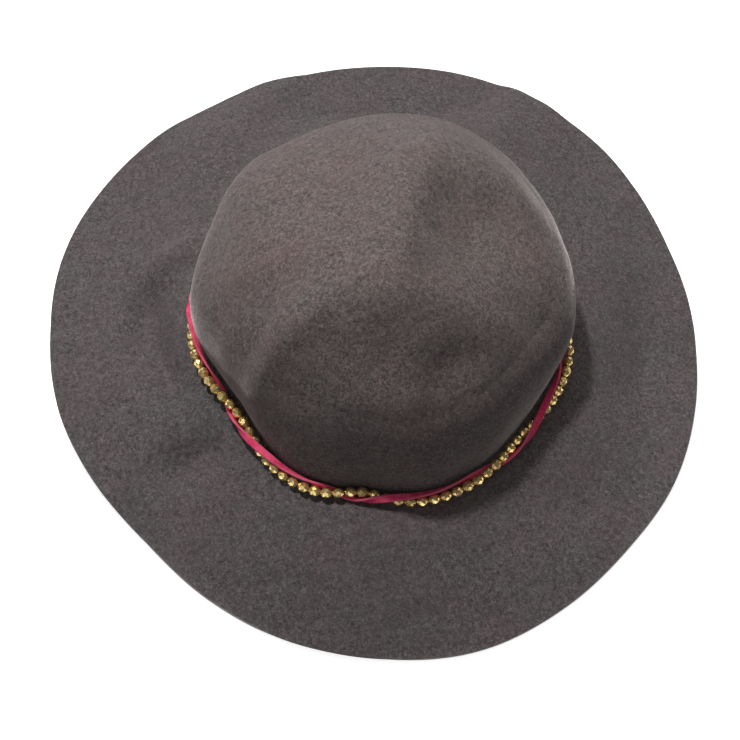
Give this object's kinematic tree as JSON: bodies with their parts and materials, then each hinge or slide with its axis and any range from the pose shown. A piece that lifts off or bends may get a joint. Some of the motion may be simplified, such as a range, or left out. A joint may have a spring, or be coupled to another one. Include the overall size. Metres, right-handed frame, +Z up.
{
  "type": "floppy hat",
  "caption": "Felt hat with a round dented crown and a wide soft brim, banded at the crown's foot by a string of beads twisted with a flat lace.",
  "frame": {"origin": "middle of the footprint of the whole hat, on the floor that its brim rests on", "axes": "+Z up through the crown, -Y towards the front of the hat, +X to the right of a viewer in front of it"},
  "size_m": [0.328, 0.3426, 0.1207],
  "materials": {
    "felt": "heathered charcoal wool felt, matt and slightly hairy",
    "beads": "polished facets with dark hollows between the beads",
    "lace": "pink suede, napped faces and paler cut edges"
  },
  "bodies": {
    "root": {"felt_body": "felt", "bead_string": "beads", "suede_lace": "lace"}
  },
  "joints": []
}
